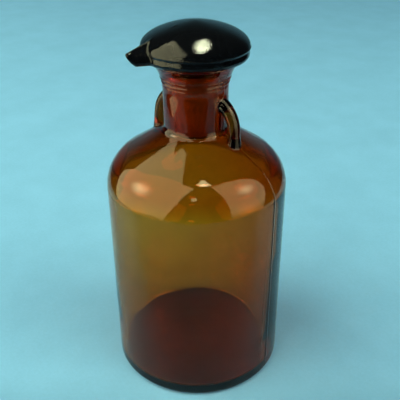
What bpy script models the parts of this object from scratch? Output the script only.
"""Amber glass dropping bottle: a blown bottle with two glass ears, and a ground-in stopper with a beak.

Units are metres, +Z is up, and the origin is the centre of the base.
The ears lie on the X axis. The bottle and the stopper share the Z axis.
"""
import math

import bmesh
import bpy
from mathutils import Vector

# ---------------------------------------------------------------- dimensions
R = 0.025                      # outer radius of the body; the outline's ratios are in body radii
TURN_STEPS = 64                # steps of every turned solid

# body and base, outside
HEEL_R = 0.064 * R             # rounding between the base and the wall
WALL_TOP = 2.334 * R           # where the straight wall ends
SHOULDER_R = 0.453 * R         # rounding of the shoulder
SHOULDER_SWEEP = 1.001         # radians of shoulder rounding before the straight slope
RING_IN = 0.78 * R             # inner radius of the flat resting ring
PUNT = 0.0012                  # how far the middle of the base is pushed up
PUNT_EDGE = 0.55               # share of that height at the edge of the push-up
PUNT_STEP = 0.0012             # width of the step from the ring to the push-up
SLOPE_START_R = R - SHOULDER_R + SHOULDER_R * math.cos(SHOULDER_SWEEP)
SLOPE_START_Z = WALL_TOP + SHOULDER_R * math.sin(SHOULDER_SWEEP)

# chamber
FLOOR = 0.0024                 # height of the floor at its edge
FLOOR_MID = 0.0034             # and at its middle
FLOOR_HEEL = 0.0024            # inside rounding between wall and floor
WALL_T = 0.0022                # thickness of the side wall
SLOPE_T = 0.0026               # thickness of the shoulder's slope
BORE_FILLET = 0.0008           # rounding from the slope's inside into the bore
BORE_CORNER_OUT = 0.0006       # that rounding's corner lies this far outside the bore
BORE_FILLET_AIM = 0.004        # its upper leg points at the bore this far above the lower end
BORE_START = 0.0012            # the ground face starts this far above the lower end

# neck
NECK_R = 0.346 * R
ROOT_FILLET = 0.095 * R        # fillet between the slope and the neck
FLARE_Z = 3.470 * R            # where the neck begins to flare
FLARE_POWER = 1.7
FLARE_SEGMENTS = 8
LIP_R = 0.437 * R
LIP_Z = 3.732 * R
LIP_EDGE = 0.0005              # rounding of the lip's outer edge
LIP_EDGE_END = -0.15           # angle where that rounding ends, radians
MOUTH_R = 0.290 * R            # drip funnel inside the lip
MOUTH_Z = 3.648 * R            # bottom of the funnel
MOUTH_BEVEL_R = 0.0005         # width of the bevel on the lip's inner edge
MOUTH_BEVEL_Z = 0.0004         # and its height

# ground joint: a slim cone
JOINT_LOW_Z = 2.965 * R
JOINT_LOW_R = 0.2110 * R
JOINT_TOP_R = 0.2330 * R       # at the bottom of the funnel
CLEARANCE = 0.00012            # radial gap between plug and bore

# ears
EAR_ROD_R = 0.00125
EAR_POINTS = 12
EAR_END_SWELL = 0.22           # extra thickness at both ends, as a share of the rod's radius
EAR_CONTROLS = [               # Bezier control points of the centre line: radius, height
    (0.275 * R, 3.325 * R),
    (0.487 * R, 3.250 * R),
    (0.487 * R, 3.085 * R),
    (0.484 * R, 2.860 * R),
]

# dosing grooves
GROOVE_R = 0.00105
BORE_GROOVE_LOW = JOINT_LOW_Z - 0.0035     # the bars start below the bore's lower end
BORE_GROOVE_TOP = 3.33 * R
PLUG_GROOVE_LOW = 3.22 * R     # grooves in the plug run from here up into the cap
PLUG_GROOVE_OVERRUN = 0.0004   # reach of their bars above the cap's underside

# stopper
CAP_UNDER_Z = 3.748 * R        # underside of the cap, just above the lip
CAP_EDGE_R = 0.498 * R         # flat underside ends here
CAP_ROUND = 0.055 * R          # rounding of the rim's lower edge
RIM_R = 0.558 * R              # widest radius, at the crease
RIM_Z = 3.872 * R
APEX_Z = 4.124 * R
DOME_RADIUS_POWER = 1.400      # exponents of the dome's outline
DOME_HEIGHT_POWER = 0.955
DOME_SEGMENTS = 12
PLUG_ROOT_CHAMFER = 0.0006     # between the plug and the cap's underside
PLUG_END_Z = 2.905 * R
PLUG_END_BEVEL_R = 0.0007      # width of the bevel at the plug's lower end
PLUG_END_BEVEL_Z = 0.0008      # and its height

# beak, lofted outwards; radii are distances from the Z axis
BEAK_DEG = 241.0               # direction of the beak as the stopper stands in the bottle
BEAK_STATIONS = 10
BEAK_RING_POINTS = 12
BEAK_ROOT_R = 0.30 * R         # first station, inside the cap
BEAK_TIP_R = 0.742 * R
BEAK_TIP_Z = 3.880 * R
BEAK_TIP_DEPTH = 0.0009        # crest to underside where the lift is 1
BEAK_SLOPE = 0.400             # fall of the crest, outwards
BEAK_UNDER_Z = CAP_UNDER_Z + 0.00005
BEAK_LIFT_START_R = 0.655 * R  # the underside rises from here
BEAK_LIFT_END_R = 0.737 * R    # lift is 1 here
BEAK_LIFT_POWER = 1.3
BEAK_HALF_WIDTH = 0.036 * R    # half width outside the widening
BEAK_WIDENING = 0.100 * R      # gain in half width over one widening length
BEAK_WIDENING_R = 0.700 * R    # the beak widens inwards from here
BEAK_WIDENING_LENGTH = 0.20 * R
BEAK_WIDENING_POWER = 0.9
BEAK_TIP_NARROWING = 0.55      # share of the width lost where the lift is 1
BEAK_WIDEST = 0.42             # height of the widest level, as a share of underside to crest

# channel under the cap
CHANNEL_R = 0.0008
CHANNEL_INSET = 0.0004         # its inner end lies this far inside the plug's surface
CHANNEL_Z = CAP_UNDER_Z - 0.0001
CHANNEL_BEND_R = 0.62 * R      # level up to here, then rising
CHANNEL_END_R = 0.80 * R
CHANNEL_END_Z = CAP_UNDER_Z + 0.0022

SHARP_ANGLE = math.radians(40)  # edges steeper than this stay sharp in the shading


# ---------------------------------------------------------------- scene
for old in list(bpy.data.objects):
    bpy.data.objects.remove(old, do_unlink=True)

parts = bpy.data.collections.new("dropping_bottle")
cutters = bpy.data.collections.new("cutters")
for collection in (parts, cutters):
    bpy.context.scene.collection.children.link(collection)


# ---------------------------------------------------------------- helpers
def glass(name, colour, roughness, transmission):
    mat = bpy.data.materials.new(name)
    mat.use_nodes = True
    shader = mat.node_tree.nodes["Principled BSDF"]
    shader.inputs["Base Color"].default_value = colour
    shader.inputs["Metallic"].default_value = 0.0
    shader.inputs["Roughness"].default_value = roughness
    shader.inputs["IOR"].default_value = 1.52
    shader.inputs["Transmission Weight"].default_value = transmission
    mat.diffuse_color = colour
    return mat


def arc(centre_r, centre_z, radius, start, end, segments):
    """Points of a circular arc in the (radius, height) plane, angles in radians from +X."""
    angles = [start + (end - start) * k / segments for k in range(segments + 1)]
    return [(centre_r + radius * math.cos(angle), centre_z + radius * math.sin(angle))
            for angle in angles]


def fillet(before, corner, after, radius, segments):
    """A rounded corner: an arc that touches the legs from the corner to both other points."""
    corner = Vector(corner)
    leg_in = (Vector(before) - corner).normalized()
    leg_out = (Vector(after) - corner).normalized()
    half = leg_in.angle(leg_out) / 2
    reach = radius / math.tan(half)
    centre = corner + (leg_in + leg_out).normalized() * (radius / math.sin(half))
    start = corner + leg_in * reach - centre
    end = corner + leg_out * reach - centre
    start_angle = math.atan2(start.y, start.x)
    end_angle = math.atan2(end.y, end.x)
    turn = (end_angle - start_angle + math.pi) % (2 * math.pi) - math.pi
    return arc(centre.x, centre.y, radius, start_angle, start_angle + turn, segments)


def baked(obj, collection):
    """Replace an object by its evaluated mesh, with coincident points welded."""
    graph = bpy.context.evaluated_depsgraph_get()
    mesh = bpy.data.meshes.new_from_object(obj.evaluated_get(graph))
    work = bmesh.new()
    work.from_mesh(mesh)
    bmesh.ops.remove_doubles(work, verts=work.verts, dist=0.000005)
    bmesh.ops.recalc_face_normals(work, faces=work.faces)
    work.to_mesh(mesh)
    work.free()
    name, matrix = obj.name, obj.matrix_world.copy()
    bpy.data.objects.remove(obj, do_unlink=True)
    solid = bpy.data.objects.new(name, mesh)
    solid.matrix_world = matrix
    collection.objects.link(solid)
    return solid


def turned_solid(name, profile, mat):
    """Turn a profile of (radius, height) points, closed on the Z axis, into a solid."""
    mesh = bpy.data.meshes.new(name)
    edges = [(k, k + 1) for k in range(len(profile) - 1)]
    mesh.from_pydata([(r, 0.0, z) for r, z in profile], edges, [])
    obj = bpy.data.objects.new(name, mesh)
    parts.objects.link(obj)
    screw = obj.modifiers.new("turn", "SCREW")
    screw.axis = "Z"
    screw.angle = 2 * math.pi
    screw.steps = TURN_STEPS
    screw.render_steps = TURN_STEPS
    screw.use_merge_vertices = True
    screw.merge_threshold = 0.00001
    screw.use_smooth_shade = True
    solid = baked(obj, parts)
    solid.data.materials.append(mat)
    return solid


def as_helper(obj):
    obj.hide_render = True
    obj.display_type = "WIRE"
    return obj


def rod(name, path, radius, swells=None, turn=0.0):
    """A round bar along a path, as a helper; swells scale its radius at each point."""
    curve = bpy.data.curves.new(name, "CURVE")
    curve.dimensions = "3D"
    curve.bevel_depth = radius
    curve.bevel_resolution = 2
    curve.use_fill_caps = True
    spline = curve.splines.new("POLY")
    spline.points.add(len(path) - 1)
    for point, place in zip(spline.points, path):
        point.co = (*place, 1.0)
    if swells:
        for point, swell in zip(spline.points, swells):
            point.radius = swell
    obj = bpy.data.objects.new(name, curve)
    obj.rotation_euler = (0.0, 0.0, turn)
    cutters.objects.link(obj)
    bpy.context.view_layer.update()  # baking reads the world matrix
    return as_helper(baked(obj, cutters))


def boolean(obj, helper, operation):
    mod = obj.modifiers.new(helper.name, "BOOLEAN")
    mod.operation = operation
    mod.solver = "EXACT"
    mod.object = helper


def in_direction(angle_deg, outline):
    """Place (radius, height) points in the upright plane at an angle from +X."""
    angle = math.radians(angle_deg)
    return [(r * math.cos(angle), r * math.sin(angle), z) for r, z in outline]


def groove_bar(name, angle_deg, cone_radius, low, high):
    """A slim round bar that follows a cone in one direction, to cut a groove."""
    outline = [(cone_radius(z), z) for z in (low, high)]
    return rod(name, in_direction(angle_deg, outline), GROOVE_R)


def bore_radius(z):
    return JOINT_LOW_R + (JOINT_TOP_R - JOINT_LOW_R) * (z - JOINT_LOW_Z) / (MOUTH_Z - JOINT_LOW_Z)


def plug_radius(z):
    return bore_radius(z) - CLEARANCE


def slope_height(radius, depth=0.0):
    """Height of the shoulder's slope at a radius, or of its parallel at a depth in the glass."""
    surface = SLOPE_START_Z + (SLOPE_START_R - radius) / math.tan(SHOULDER_SWEEP)
    return surface - depth / math.sin(SHOULDER_SWEEP)


# ---------------------------------------------------------------- bottle
def bottle_inside():
    """From the middle of the floor up to the lip."""
    floor_r = R - WALL_T - FLOOR_HEEL
    points = []
    # crowned floor, inside heel, inside of the shoulder
    for k in range(4):
        crown = math.cos(math.pi / 2 * k / 4) ** 2
        points.append((floor_r * k / 4, FLOOR + (FLOOR_MID - FLOOR) * crown))
    points += arc(floor_r, FLOOR + FLOOR_HEEL, FLOOR_HEEL, -math.pi / 2, 0.0, segments=5)
    points += arc(R - SHOULDER_R, WALL_TOP, SHOULDER_R - WALL_T, 0.0, SHOULDER_SWEEP, segments=7)
    # slope and the rounding into the bore
    corner_r = JOINT_LOW_R + BORE_CORNER_OUT
    points += fillet(points[-1], (corner_r, slope_height(corner_r, SLOPE_T)),
                     (JOINT_LOW_R, JOINT_LOW_Z + BORE_FILLET_AIM), BORE_FILLET, segments=3)
    # ground bore, drip funnel, lip
    bore_start_z = JOINT_LOW_Z + BORE_START
    points += [
        (bore_radius(bore_start_z), bore_start_z),
        (JOINT_TOP_R, MOUTH_Z),
        (MOUTH_R, LIP_Z - MOUTH_BEVEL_Z),
        (MOUTH_R + MOUTH_BEVEL_R, LIP_Z),
    ]
    return points


def bottle_outside():
    """From the lip down to the middle of the base."""
    points = arc(LIP_R - LIP_EDGE, LIP_Z - LIP_EDGE, LIP_EDGE, math.pi / 2, LIP_EDGE_END, segments=4)
    # flare: a power curve from the lip down to the straight neck
    flare_top = points[-1][1]
    for k in range(1, FLARE_SEGMENTS + 1):
        t = k / FLARE_SEGMENTS
        points.append((NECK_R + (LIP_R - NECK_R) * (1 - t) ** FLARE_POWER,
                       flare_top + (FLARE_Z - flare_top) * t))
    # neck root, slope, shoulder, wall, heel
    points += fillet((NECK_R, FLARE_Z), (NECK_R, slope_height(NECK_R)),
                     (SLOPE_START_R, SLOPE_START_Z), ROOT_FILLET, segments=5)
    points += arc(R - SHOULDER_R, WALL_TOP, SHOULDER_R, SHOULDER_SWEEP, 0.0, segments=9)
    points += arc(R - HEEL_R, HEEL_R, HEEL_R, 0.0, -math.pi / 2, segments=5)
    # resting ring, pushed-up middle
    points.append((RING_IN, 0.0))
    for k in range(3, -1, -1):
        rise = PUNT_EDGE + (1 - PUNT_EDGE) * math.cos(math.pi / 2 * k / 3)
        points.append(((RING_IN - PUNT_STEP) * k / 3, PUNT * rise))
    return points


def ear(name, turn):
    """A bent rod: out of the neck, over, and down onto the slope."""
    start, knee, reach, foot = (Vector((r, 0.0, z)) for r, z in EAR_CONTROLS)
    path, swells = [], []
    for k in range(EAR_POINTS):
        t = k / (EAR_POINTS - 1)
        path.append((1 - t) ** 3 * start + 3 * (1 - t) ** 2 * t * knee
                    + 3 * (1 - t) * t * t * reach + t ** 3 * foot)
        swells.append(1.0 + EAR_END_SWELL * (2 * t - 1) ** 4)
    return rod(name, path, EAR_ROD_R, swells, turn)


def build_bottle():
    amber = glass("amber_glass", colour=(0.23, 0.085, 0.012, 1.0), roughness=0.06, transmission=0.9)
    bottle = turned_solid("bottle", bottle_inside() + bottle_outside(), amber)
    for name, turn in (("ear_right", 0.0), ("ear_left", math.pi)):
        boolean(bottle, ear(name, turn), "UNION")
    for name, angle in (("bore_groove_right", 0.0), ("bore_groove_left", 180.0)):
        bar = groove_bar(name, angle, bore_radius, BORE_GROOVE_LOW, BORE_GROOVE_TOP)
        boolean(bottle, bar, "DIFFERENCE")
    return bottle


# ---------------------------------------------------------------- stopper
def stopper_profile():
    """From the apex over the rim and down the plug to the middle of its end."""
    points = []
    for k in range(DOME_SEGMENTS + 1):
        angle = math.pi / 2 * (1 - k / DOME_SEGMENTS)
        points.append((RIM_R * math.cos(angle) ** DOME_RADIUS_POWER if k else 0.0,
                       RIM_Z + (APEX_Z - RIM_Z) * math.sin(angle) ** DOME_HEIGHT_POWER))
    points += arc(CAP_EDGE_R, CAP_UNDER_Z + CAP_ROUND, CAP_ROUND, 0.0, -math.pi / 2, segments=4)
    top_r = plug_radius(MOUTH_Z)
    bevel_z = PLUG_END_Z + PLUG_END_BEVEL_Z
    points += [
        (top_r + PLUG_ROOT_CHAMFER, CAP_UNDER_Z),
        (top_r, CAP_UNDER_Z - PLUG_ROOT_CHAMFER),
        (top_r, MOUTH_Z),
        (plug_radius(bevel_z), bevel_z),
        (plug_radius(PLUG_END_Z) - PLUG_END_BEVEL_R, PLUG_END_Z),
        (0.0, PLUG_END_Z),
    ]
    return points


def beak_section(reach):
    """Points of the beak's cross-section at a distance from the Z axis."""
    crest = BEAK_TIP_Z + BEAK_SLOPE * (BEAK_TIP_R - reach)
    lift = max(0.0, (reach - BEAK_LIFT_START_R) / (BEAK_LIFT_END_R - BEAK_LIFT_START_R))
    tip_under = BEAK_TIP_Z - BEAK_TIP_DEPTH
    under = BEAK_UNDER_Z + (tip_under - BEAK_UNDER_Z) * lift ** BEAK_LIFT_POWER
    widening = max(0.0, (BEAK_WIDENING_R - reach) / BEAK_WIDENING_LENGTH) ** BEAK_WIDENING_POWER
    half = (BEAK_HALF_WIDTH + BEAK_WIDENING * widening) * (1 - BEAK_TIP_NARROWING * lift ** 2)
    points = []
    for k in range(BEAK_RING_POINTS):
        angle = 2 * math.pi * k / BEAK_RING_POINTS
        side, up = math.sin(angle), math.cos(angle)
        if up > 0:  # rounded crest
            width = half * abs(side) ** 0.8
            level = BEAK_WIDEST + (1 - BEAK_WIDEST) * up ** 1.15
        else:  # steep flanks and flat underside
            width = half * (1.0 - 0.12 * abs(up) ** 3) * abs(side) ** 0.45
            level = BEAK_WIDEST * (1 - abs(up) ** 0.5)
        y = math.copysign(width, side) if abs(side) > 1e-6 else 0.0
        points.append((reach, y, under + level * (crest - under)))
    return points


def beak():
    """A prow lofted outwards from inside the cap, as a helper."""
    work = bmesh.new()
    rings = []
    for k in range(BEAK_STATIONS):
        reach = BEAK_ROOT_R + (BEAK_TIP_R - BEAK_ROOT_R) * k / (BEAK_STATIONS - 1)
        rings.append([work.verts.new(place) for place in beak_section(reach)])
    for inner, outer in zip(rings, rings[1:]):
        for k in range(BEAK_RING_POINTS):
            j = (k + 1) % BEAK_RING_POINTS
            work.faces.new((inner[k], inner[j], outer[j], outer[k]))
    work.faces.new(rings[0][::-1])
    work.faces.new(rings[-1])
    bmesh.ops.recalc_face_normals(work, faces=work.faces)
    mesh = bpy.data.meshes.new("beak")
    work.to_mesh(mesh)
    work.free()
    obj = bpy.data.objects.new("beak", mesh)
    obj.rotation_euler = (0.0, 0.0, math.radians(BEAK_DEG))
    cutters.objects.link(obj)
    return as_helper(obj)


def drip_channel():
    """A bar for the shallow channel under the cap, from the plug's groove out past the beak."""
    outline = [
        (plug_radius(MOUTH_Z) - CHANNEL_INSET, CHANNEL_Z),
        (CHANNEL_BEND_R, CHANNEL_Z),
        (CHANNEL_END_R, CHANNEL_END_Z),
    ]
    return rod("drip_channel", in_direction(BEAK_DEG, outline), CHANNEL_R)


def build_stopper():
    dark = glass("dark_glass", colour=(0.018, 0.009, 0.006, 1.0), roughness=0.05, transmission=0.3)
    stopper = turned_solid("stopper", stopper_profile(), dark)
    boolean(stopper, beak(), "UNION")
    for name, angle in (("drip_groove", BEAK_DEG), ("air_groove", BEAK_DEG + 180.0)):
        bar = groove_bar(name, angle, plug_radius, PLUG_GROOVE_LOW,
                         CAP_UNDER_Z + PLUG_GROOVE_OVERRUN)
        boolean(stopper, bar, "DIFFERENCE")
    boolean(stopper, drip_channel(), "DIFFERENCE")
    return stopper


for piece in (build_bottle(), build_stopper()):
    piece.data.shade_smooth()
    piece.data.set_sharp_from_angle(angle=SHARP_ANGLE)
